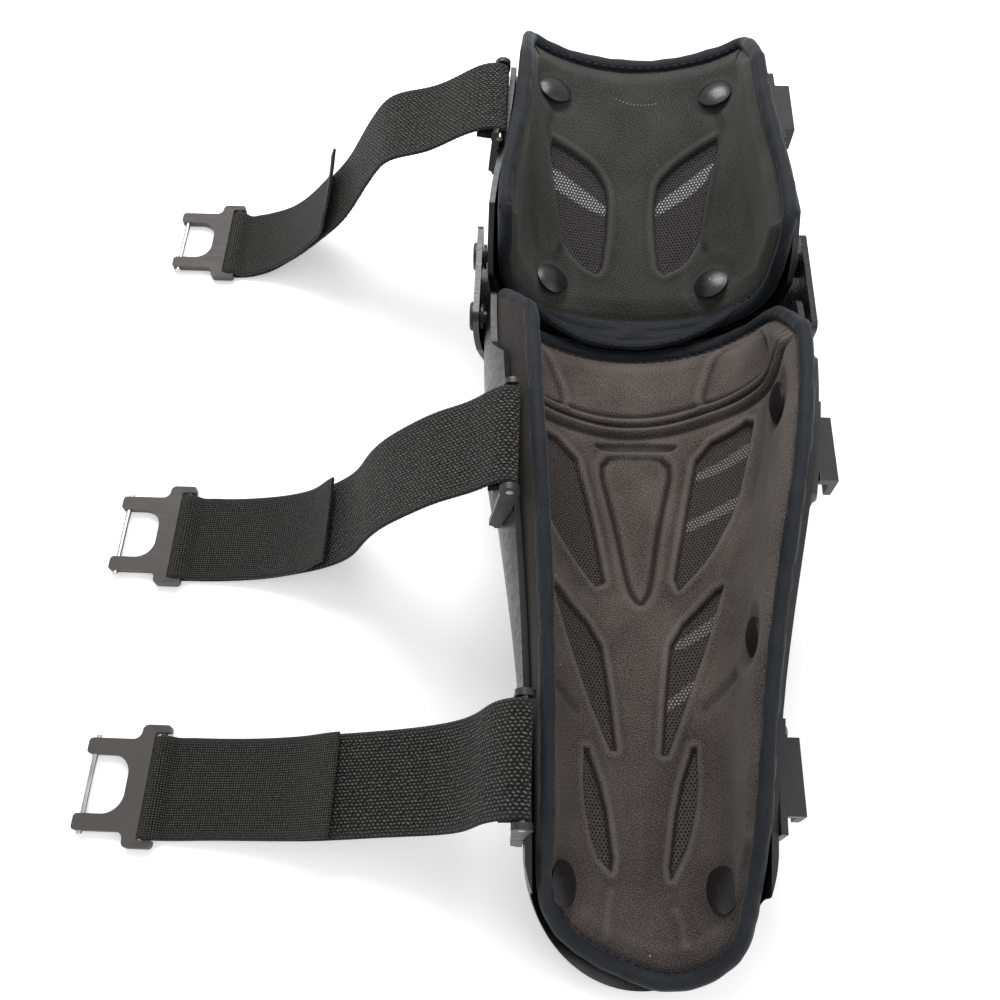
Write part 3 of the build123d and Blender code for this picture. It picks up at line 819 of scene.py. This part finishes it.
def shin_relief(a, y):
    height, mesh, band, hollow = stamped(a, y, SHIN_WINDOWS, SHIN_LIT_STRIPES, 3.2)
    distance = outline_distance(a, y, rounded(SHIN_WEDGE, 2))
    height += 0.5 * smooth_step(0.5, -6.0, distance)
    height -= 1.9 * bell(distance, 1.5) * smooth_step(-64, -74, y)
    height += 0.7 * bell(distance - 4.0, 2.4)
    # painted shade along the wedge's edge
    hollow = np.maximum(hollow, 0.55 * bell(distance, 0.9) * smooth_step(-64, -74, y))
    distance = outline_distance(a, y, rounded(SHIN_LENS, 2))
    height -= 1.8 * smooth_step(0.8, -1.4, distance)
    # painted shade in the lens recess
    hollow = np.maximum(hollow, 0.45 * smooth_step(0.3, -1.6, distance))
    for corners in SHIN_PANELS:
        distance = outline_distance(a, y, rounded(corners, 2))
        height -= 1.5 * smooth_step(0.8, -1.6, distance)
        height += 0.7 * bell(distance - 2.4, 2.0)
        height += 0.8 * smooth_step(-3.0, -14.0, distance)
    points = smooth_path(SHIN_SMILE, 3.0)
    bend = np.interp(a, points[:, 0], points[:, 1])
    offset = y - bend
    height += 2.5 * bell(offset - 2.9, 1.8)
    height += 2.2 * bell(offset + 2.6, 1.6)
    height -= 0.9 * bell(offset, 0.9)
    height -= 1.2 * bell(offset + 6.8, 2.2)
    height -= 1.0 * bell(offset - 6.8, 1.8)
    # painted shade in the grooves of the smile
    hollow = np.maximum(hollow, 0.60 * bell(offset - 0.2, 0.55))
    hollow = np.maximum(hollow, 0.35 * bell(offset + 5.6, 1.0))
    hollow = np.maximum(hollow, 0.25 * bell(offset - 5.8, 0.8))
    height, hollow = folds(a, y, SHIN_GROOVES, -1, height, hollow)
    height, hollow = folds(a, y, SHIN_RIDGES, 1, height, hollow)
    height += 0.45 * np.sin(a / 17 + 0.6) * np.sin(y / 23 + 1.0) + 0.2 * np.sin(a / 6 + y / 9)
    return height, mesh, band, hollow


def thigh_relief(a, y):
    height, mesh, band, hollow = stamped(a, y, THIGH_WINDOWS, THIGH_LIT_STRIPES, 3.4)
    height, hollow = folds(a, y, THIGH_CREASES, -1, height, hollow)
    sides = smooth_step(30, 60, y) * smooth_step(150, 120, y)
    height += 1.0 * bell(np.abs(a) - 60, 9.0) * sides
    height += 0.9 * bell(a, 8.0) * smooth_step(100, 80, y) * smooth_step(30, 50, y)
    height += 0.45 * np.sin(a / 15 + 0.3) * np.sin(y / 21 + 0.4) + 0.2 * np.sin(a / 7 - y / 8)
    return height, mesh, band, hollow


def blurred(values, reach):
    """A grid smoothed both ways with a sliding window."""
    steps = np.arange(-2 * reach, 2 * reach + 1)
    weights = np.exp(-0.5 * (steps / reach) ** 2)
    weights /= weights.sum()
    for axis in (0, 1):
        pad = [(0, 0), (0, 0)]
        pad[axis] = (2 * reach, 2 * reach)
        wide = np.pad(values, pad, mode="edge")
        size = values.shape[axis]
        values = sum(w * np.take(wide, np.arange(i, i + size), axis) for i, w in enumerate(weights))
    return values


def build_pad(name, sections, low_edge, high_edge, relief, caps, dimple, material, body, spacing):
    """A moulded foam pad with its binding and stitches."""
    columns = int(270 / spacing)
    shares = np.linspace(-1, 1, columns)
    low, high = soften(low_edge(shares), 4), soften(high_edge(shares), 6)
    rows = int((high.max() - low.min()) / spacing)
    run = np.linspace(0, 1, rows)[:, None]
    y = low + (high - low) * run
    share = np.broadcast_to(shares, y.shape).copy()
    table = round_distance(sections, shares, low.min() - 5, high.max() + 5)
    a = np.stack([np.interp(y[:, c], table[0], table[1][:, c]) for c in range(columns)], axis=1)
    rim = np.minimum(np.minimum(a - a[:, :1], a[:, -1:] - a), np.minimum(y - low, high - y))
    height, mesh, band, hollow = relief(a, y)
    dimples = cap_dimples(a, y, caps, table, shares, dimple, 1.5)
    height = height * smooth_step(5, 14, rim) - dimples
    height -= EDGE_DIP * smooth_step(17, 4, rim)
    height -= 0.8 * bell(rim - 6.4, 1.6)
    swell = height - blurred(height, max(2, round(2.6 / spacing)))
    # painted highlight on the raised parts of the relief, kept as a layer
    crest_highlight = np.clip(swell * 1.3 - 0.05, 0, 1)
    # painted shade in the dips of the relief and along the seam by the binding; the back face gets 0.9 of it
    # below
    hollow = np.maximum(hollow, np.clip(-swell * 1.2 - 0.05, 0, 0.9))
    hollow = np.maximum(hollow * smooth_step(4, 9, rim), 0.6 * bell(rim - 6.0, 1.3))
    front, normal = pad_face(sections, share, y, PAD_THICKNESS + height)
    thin = 0.6 + 0.6 * smooth_step(8, 0, rim)
    back, _ = pad_face(sections, share, y, thin)
    points, quads = closed_slab(front, back)
    uv = np.tile(np.stack([a.ravel(), y.ravel()], axis=1) / 1000.0, (2, 1))
    behind = np.zeros(a.size)
    layers = {
        "mesh": np.concatenate([mesh.ravel(), behind]),
        "band": np.concatenate([(band * mesh).ravel(), behind]),
        "hollow": np.concatenate([hollow.ravel(), behind + 0.9]),
        "crest_highlight": np.concatenate([crest_highlight.ravel(), behind]),
    }
    pad = add_mesh(f"{name}_cushion", points, quads, material, body, uv, layers)
    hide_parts(name)
    middle, _ = pad_face(sections, share, y, np.full(y.shape, 4.0))
    rim_index = border(rows, columns)
    bind(name, middle.reshape(-1, 3)[rim_index], normal.reshape(-1, 3)[rim_index], body)
    return table, shares


def on_pad(sections, chart, a, y, offset):
    """Points and normals over a pad at distances a round its U, from the pad's chart."""
    (levels, reach), shares = chart
    share = np.empty(len(a))
    for i in range(len(a)):
        row = [np.interp(y[i], levels, column) for column in reach.T]
        share[i] = np.interp(a[i], row, shares)
    return pad_face(sections, share, y, offset)


def loop_frames(line, normals, spacing):
    """Evenly spaced points round a closed line, with outward and upward directions and distances."""
    closed = np.concatenate([line, line[:1]])
    both = even_path(np.concatenate([closed, np.concatenate([normals, normals[:1]])], axis=1), 1.0)
    reach = run_length(both[:, :3])
    count = int(reach[-1] / spacing)
    at = np.linspace(0, reach[-1], count, endpoint=False)
    both = read_along(at, reach, both)
    window = np.exp(-0.5 * (np.arange(-9, 10) / 3.2) ** 2)
    window /= window.sum()
    spread = np.concatenate([both[-9:], both, both[:9]])
    both = np.stack([np.convolve(spread[:, k], window, mode="valid") for k in range(6)], axis=1)
    path, up = both[:, :3], both[:, 3:]
    along = unit(np.roll(path, -1, axis=0) - np.roll(path, 1, axis=0))
    up = unit(up - along * (up * along).sum(axis=1, keepdims=True))
    out = np.cross(along, up)
    return path, out, up, at


def bind(name, line, normals, body):
    """The binding tube round a pad's edge and its row of sunken stitches."""
    path, out, up, at = loop_frames(line, normals, 1.3)
    path = path - out * 2.2
    if body == "thigh":
        centre, half, depth = STRAP_TUCK
        pressed = np.exp(-(((path[:, 1] - centre) / half) ** 4)) * (path[:, 0] < 0)
        path = path + up * (depth * pressed)[:, None]
    profile = oval(4.0, 4.0, 3.3, 24)
    pinch = 0.5 + 0.5 * np.cos(2 * math.pi * at / 5.2)
    ripple = 0.18 * np.sin(at / 9.0) + 0.14 * np.sin(at / 3.7 + 1.0) + 0.10 * np.sin(at / 2.1)
    inner = np.clip(-profile[:, 0] / 4.0, 0, 1) * (profile[:, 1] > 0)
    swell = 1 + (ripple[:, None] - 0.35 * pinch[:, None] * inner[None]) / 4.0
    shape = profile[None] * swell[..., None]
    points, quads = swept(path, out, up, shape, True)
    sides = len(profile)
    turn = np.linspace(0, 0.030, sides, endpoint=False)
    uv = np.stack([np.repeat(at / 1000.0, sides), np.tile(turn, len(path))], axis=1)
    tube = add_mesh(f"{name}_binding", points, quads, BINDING, body, uv)
    seat = path - out * 4.0 + up * 2.3
    middle = at[::4]
    starts = read_along(middle, at, seat)
    ends = read_along(middle + 3.3, at, seat)
    lifts = unit(read_along(middle, at, up))
    points, quads = thread(starts[:-1], ends[:-1], lifts[:-1], 0.42, 0.35)
    stitches = add_mesh(f"{name}_binding_stitches", points, quads, DARK_THREAD, body)


spacing = 0.85
build_pad(
    "shin_pad", SHIN_SECTIONS, shin_low_edge, shin_high_edge, shin_relief, SHIN_CAPS, 19.0,
    SHIN_FABRIC, "shin", spacing,
)
thigh_chart = build_pad(
    "thigh_pad", THIGH_SECTIONS, thigh_low_edge, thigh_high_edge, thigh_relief, THIGH_CAPS, 17.0,
    THIGH_FABRIC, "thigh", spacing,
)


def knee_fold():
    """The loose fold of tape under the thigh pad: a second tube below the binding, pinched in the
    middle, and the sunken lens-shaped cloth between the two."""
    line = smooth_path(KNEE_FOLD, 1.2)
    middle, up = on_pad(THIGH_SECTIONS, thigh_chart, line[:, 0], line[:, 1], line[:, 2])
    along = unit(np.gradient(middle, axis=0))
    up = unit(up - along * (up * along).sum(axis=1, keepdims=True))
    across = np.cross(along, up)
    share = np.linspace(0, 1, len(line))
    end = np.clip(np.minimum(share, 1 - share) / 0.07, 0.12, 1) ** 0.6
    ripple = 1 + 0.06 * np.sin(line[:, 0] / 5.0) + 0.05 * np.sin(line[:, 0] / 2.3 + 1.0)
    profile = oval(3.1, 2.5, 2.0, 18)[None] * (end * ripple)[:, None, None]
    points, quads = swept(middle, across, up, profile, False)
    uv = np.stack([np.repeat(line[:, 0] / 1000.0, 18), np.tile(np.linspace(0, 0.02, 18), len(line))], axis=1)
    tube = add_mesh("thigh_pad_fold", points, quads, BINDING, "thigh", uv)
    rows = 15
    rise = np.linspace(0, 1, rows)[:, None]
    top = 18.5 - 3.0 * (line[:, 0] / 60.0) ** 2
    y = line[:, 1] + (top - line[:, 1]) * rise
    waist = bell(line[:, 0] - 2.0, 9.0)
    valley = 1.4 * bell(rise - 0.55, 0.13) * (1 - waist)
    bulge = np.sin(math.pi * rise) * (0.9 + 1.5 * waist) - valley
    offset = line[:, 2] * (1 - rise) + 6.4 * rise + bulge
    a = np.broadcast_to(line[:, 0], y.shape)
    front, _ = on_pad(THIGH_SECTIONS, thigh_chart, a.ravel(), y.ravel(), offset.ravel())
    back, _ = on_pad(THIGH_SECTIONS, thigh_chart, a.ravel(), y.ravel(), offset.ravel() - 1.2)
    shape = (rows, len(line), 3)
    points, quads = closed_slab(front.reshape(shape), back.reshape(shape))
    uv = np.tile(np.stack([a.ravel(), y.ravel()], axis=1) / 1000.0, (2, 1))
    lens = add_mesh("thigh_pad_fold_lining", points, quads, BINDING, "thigh", uv)
    seat = middle + across * 2.3 + up * 1.7
    ends = np.arange(6, len(line) - 8, 4)
    lifts = up[ends]
    after = seat[ends + 3] - (seat[ends + 3] - seat[ends]) * 0.1
    points, quads = thread(seat[ends], after, lifts, 0.40, 0.35)
    stitches = add_mesh("thigh_pad_fold_stitches", points, quads, DARK_THREAD, "thigh")


def vent_dots():
    """A short curved row of pierced holes in the thigh pad, shown as pale dots of painted light."""
    first, last = VENT_DOTS
    share = np.linspace(0, 1, 13)
    a = first[0] + (last[0] - first[0]) * share
    y = first[1] + (last[1] - first[1]) * share - 2.0 * np.sin(math.pi * share)
    spots, up = on_pad(THIGH_SECTIONS, thigh_chart, a, y, np.full(len(a), PAD_THICKNESS - 0.05))
    side = np.cross(up, (0.0, 1.0, 0.0))
    half = (0.35 + 0.25 * np.abs(np.sin(share * 17.0)))[:, None]
    points, quads = thread(spots - side * half, spots + side * half, up, 0.42, 0.10)
    dots = add_mesh("thigh_pad_vents", points, quads, VENT_LIGHT_DOTS, "thigh")


knee_fold()
vent_dots()


# ---------------------------------------------------------------- straps
def strap_line(strap):
    """The band's middle line (X, Z): lap under the bar, run to the buckle, and flap back over it."""
    bar_x, bar_z = strap["bar"]
    buckle_x = strap["buckle"]
    run = [np.array(p, float) for p in strap["run"]]
    first = run[0] - (bar_x, bar_z + LOOP)
    first /= np.linalg.norm(first)
    low = np.array([first[1], -first[0]])
    low *= -np.sign(low[1])
    lap = [
        np.array([bar_x, bar_z + LOOP]) + first * 13 + low * 2.5,
        np.array([bar_x, bar_z - LOOP]) + first * 4.0 + (0, 0.2),
    ]
    around = [(bar_x + LOOP * math.sin(t), bar_z - LOOP * math.cos(t)) for t in np.linspace(0.2, 2.9, 6)]
    bottom = [(buckle_x + 7, 1.3), (buckle_x + 1.5, BUCKLE_BAR_HEIGHT - LOOP)]
    wrap = [
        (buckle_x - LOOP * math.sin(t), BUCKLE_BAR_HEIGHT - LOOP * math.cos(t))
        for t in np.linspace(0.35, 2.8, 6)
    ]
    main = smooth_path(lap + around + run + bottom, 0.6)
    lap_points = 40
    tangent = unit(np.gradient(main, axis=0))
    above = np.stack([tangent[:, 1], -tangent[:, 0]], axis=1)
    chosen = (main[:, 0] < strap["flap"]) & (np.arange(len(main)) > lap_points) & (main[:, 0] > buckle_x + 7)
    flap = main[chosen] + above[chosen] * 1.85
    flap = flap[::-1][::10]
    rise = smooth_step(0.72, 1.0, np.linspace(0, 1, len(flap))) * strap["tip"]
    flap = flap + above[chosen][::-1][::10] * rise[:, None]
    top = [(buckle_x + 2.5, BUCKLE_BAR_HEIGHT + LOOP)]
    back = smooth_path([main[-1]] + wrap + top + list(flap), 0.6)
    return np.concatenate([main[:-1], back])


def build_strap(name, strap):
    """A band of webbing from its loop bar to its buckle and back along its flap, with its seams."""
    line = even_path(strap_line(strap), 0.55)
    rows = len(line)
    tangent = unit(np.gradient(line, axis=0))
    normal = np.stack([-tangent[:, 1], tangent[:, 0]], axis=1)
    reach = run_length(line)
    length = reach[-1]
    columns = 37
    across = np.linspace(-1, 1, columns)
    y_start, y_end = strap["drift"]
    towards = np.clip((strap["bar"][0] - line[:, 0]) / (strap["bar"][0] - strap["buckle"]), 0, 1)
    centre = y_start + (y_end - y_start) * smooth_step(0.1, 0.9, towards)
    buckle_at = reach[np.argmin(line[:, 0])]
    hook = smooth_step(buckle_at - 2, buckle_at + 2, reach)
    free = smooth_step(0.0, 30.0, reach - 30) * smooth_step(0.0, 30.0, np.abs(reach - buckle_at) - 6)
    lift = free[:, None] * (
        1.1 * np.sin(reach / 31.0 + 1.0)[:, None] * across[None]
        + 0.7 * np.sin(reach / 17.0)[:, None] * (across[None] ** 2 - 0.4)
    )
    lift *= smooth_step(0.0, 12.0, line[:, 1] - 4)[:, None]
    rib = 0.10 * np.sin(2 * math.pi * reach / 2.6)[:, None] * (1 - hook[:, None]) * np.ones(columns)
    thinned = (1 - 0.35 * smooth_step(0.955, 1.0, np.abs(across)))[None]
    half = 0.5 * STRAP_THICKNESS * thinned * np.ones((rows, 1))
    half = half + 0.16 * bell(np.abs(across) - 0.93, 0.022)[None]
    breadth = STRAP_HALF_WIDTH - 0.5 * (0.5 + 0.5 * np.sin(reach / 14.0)) * free
    y = centre[:, None] + across[None] * breadth[:, None]
    sheets = []
    for side in (1, -1):
        shift = lift + side * (half + rib)
        x = line[:, :1] + normal[:, :1] * shift
        z = line[:, 1:] + normal[:, 1:] * shift
        sheets.append(np.stack([x, y, np.maximum(z, 0.25)], axis=-1))
    points, quads = closed_slab(sheets[1], sheets[0])
    uv = np.stack([np.tile(across * 0.025, rows), np.repeat(reach / 1000.0, columns)], axis=1)
    edge = np.repeat(smooth_step(0.86, 0.9, np.abs(across))[None], rows, axis=0).ravel()
    hooked = np.repeat(hook, columns)
    layers = {"hook": np.tile(hooked, 2), "edge": np.tile(edge, 2)}
    body = f"{name}_strap"
    band = add_mesh(f"{name}_webbing", points, quads, WEBBING, body, np.tile(uv, (2, 1)), layers)
    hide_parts(f"{name}_strap")
    seams = strap_seams(name, sheets, reach, across, buckle_at, length)


def edge_stitches(low, high, side):
    """Start and end (distance along, share across) of a zigzag between two places of one edge."""
    stitches = []
    along, inner = low, True
    while along + EDGE_STITCH < high:
        near, far = SEAM_SHARES if inner else SEAM_SHARES[::-1]
        stitches.append(((along, side * near), (along + EDGE_STITCH, side * far)))
        along += EDGE_STITCH
        inner = not inner
    return stitches


def cross_stitches(low, high):
    """The same for a row of thread across the band."""
    stitches = []
    share, inner = -SEAM_REACH, True
    while share < SEAM_REACH:
        first, last = (low, high) if inner else (high, low)
        stitches.append(((first, share), (last, share + CROSS_STITCH)))
        share += CROSS_STITCH
        inner = not inner
    return stitches


def sheet_point(sheet, reach, across, along, side):
    """A point on one face of a band, at a distance along it and a share across it."""
    row = np.interp(along, reach, np.arange(len(reach)))
    column = np.interp(side, across, np.arange(len(across)))
    r, c = int(min(row, len(reach) - 2)), int(min(column, len(across) - 2))
    past_row, past_column = row - r, column - c
    near = sheet[r, c] * (1 - past_column) + sheet[r, c + 1] * past_column
    far = sheet[r + 1, c] * (1 - past_column) + sheet[r + 1, c + 1] * past_column
    return near * (1 - past_row) + far * past_row


def strap_seams(name, sheets, reach, across, buckle_at, length):
    """Zigzag thread along both edges, and close rows across the sewn ends."""
    stitches = []
    for side in (-1, 1):
        for face, low, high in ((0, 26.0, buckle_at - 6), (1, buckle_at + 6, length - 1)):
            stitches += [(face, ends) for ends in edge_stitches(low, high, side)]
    rows = ((0, 14.0, 19.0), (1, length - 8.0, length - 2.5), (1, buckle_at + 12, buckle_at + 16))
    for face, low, high in rows:
        stitches += [(face, ends) for ends in cross_stitches(low, high)]
    starts = np.array([sheet_point(sheets[face], reach, across, *first) for face, (first, _) in stitches])
    ends = np.array([sheet_point(sheets[face], reach, across, *last) for face, (_, last) in stitches])
    under = np.array([sheet_point(sheets[1 - face], reach, across, *first) for face, (first, _) in stitches])
    lifts = unit(starts - under)
    lifts -= (ends - starts) * ((lifts * (ends - starts)).sum(1) / ((ends - starts) ** 2).sum(1))[:, None]
    lifts = unit(lifts)
    points, quads = thread(starts, ends, lifts, 0.34, 0.22)
    seams = add_mesh(f"{name}_webbing_seams", points, quads, STRAP_THREAD, f"{name}_strap")
    return seams


for strap_name, strap_data in STRAPS.items():
    build_strap(strap_name, strap_data)


# ---------------------------------------------------------------- finish of the hard pieces
FINISHES = {
    "_shell": SHELL,
    "_spine": RIB,
    "cup_ribs": RIB,
    "knee_cup": CUP,
    "cup_wear_plate": RIB,
    "_anchor": HARDWARE,
    "_receiver": HARDWARE,
    "_buckle": BUCKLE,
    "_wire": WIRE,
    "_loop_bar": WIRE,
    "_rivets": RIVET,
    "_pins": HARDWARE,
    "_washers": HARDWARE,
    "shin_pad_caps": SHIN_CAP,
    "thigh_pad_caps": THIGH_CAP,
}
for node_name, node in nodes.items():
    for ending, finish in FINISHES.items():
        if node_name.endswith(ending):
            node.data.materials.clear()
            node.data.materials.append(finish)


# ---------------------------------------------------------------- floor, light and camera
def studio():
    scene = bpy.context.scene
    mesh = bpy.data.meshes.new("floor")
    reach = 4.0
    mesh.from_pydata(
        [(-reach, -reach, -0.09), (reach, -reach, -0.09), (reach, reach, -0.09), (-reach, reach, -0.09)],
        [], [(0, 1, 2, 3)],
    )
    shade = Shade("floor_paper")
    tone = shade.noise(shade.spot(), 3.0, 2.0, 0.5)
    mesh.materials.append(shade.finish(
        Base_Color=shade.mix(tone, (0.93, 0.93, 0.93), (0.95, 0.95, 0.95)), Roughness=0.9,
        Specular_IOR_Level=0.1, Emission_Color=(1.0, 1.0, 1.0, 1.0), Emission_Strength=0.35,
    ))
    floor = bpy.data.objects.new("floor", mesh)
    scene.collection.objects.link(floor)
    world = bpy.data.worlds.new("studio")
    world.use_nodes = True
    world.node_tree.nodes["Background"].inputs[0].default_value = (1.0, 1.0, 1.0, 1.0)
    world.node_tree.nodes["Background"].inputs[1].default_value = 0.65
    scene.world = world
    for name, spot, aim, size, power in (
        ("key", (-0.25, 0.75, 1.15), (-0.05, -0.05, 0.0), 0.8, 19.0),
        ("fill", (0.9, -0.5, 1.0), (0.0, -0.1, 0.0), 1.0, 4.0),
    ):
        data = bpy.data.lights.new(name, "AREA")
        data.shape = "SQUARE"
        data.size = size
        data.energy = power
        light = bpy.data.objects.new(name, data)
        light.location = spot
        direction = np.subtract(aim, spot)
        flat = math.hypot(direction[0], direction[1])
        light.rotation_euler = (
            math.pi / 2 + math.atan2(direction[2], flat), 0.0,
            math.atan2(direction[1], direction[0]) - math.pi / 2,
        )
        scene.collection.objects.link(light)
    camera = bpy.data.objects.new("camera", bpy.data.cameras.new("camera"))
    camera.data.lens = 36.0
    camera.data.sensor_width = 36.0
    camera.location = (-0.062, -0.342, 0.422)
    camera.rotation_euler = (math.radians(27.0), 0.0, math.radians(2.05))
    scene.collection.objects.link(camera)
    scene.camera = camera
    scene.view_settings.view_transform = "Standard"
    scene.view_settings.look = "None"


studio()
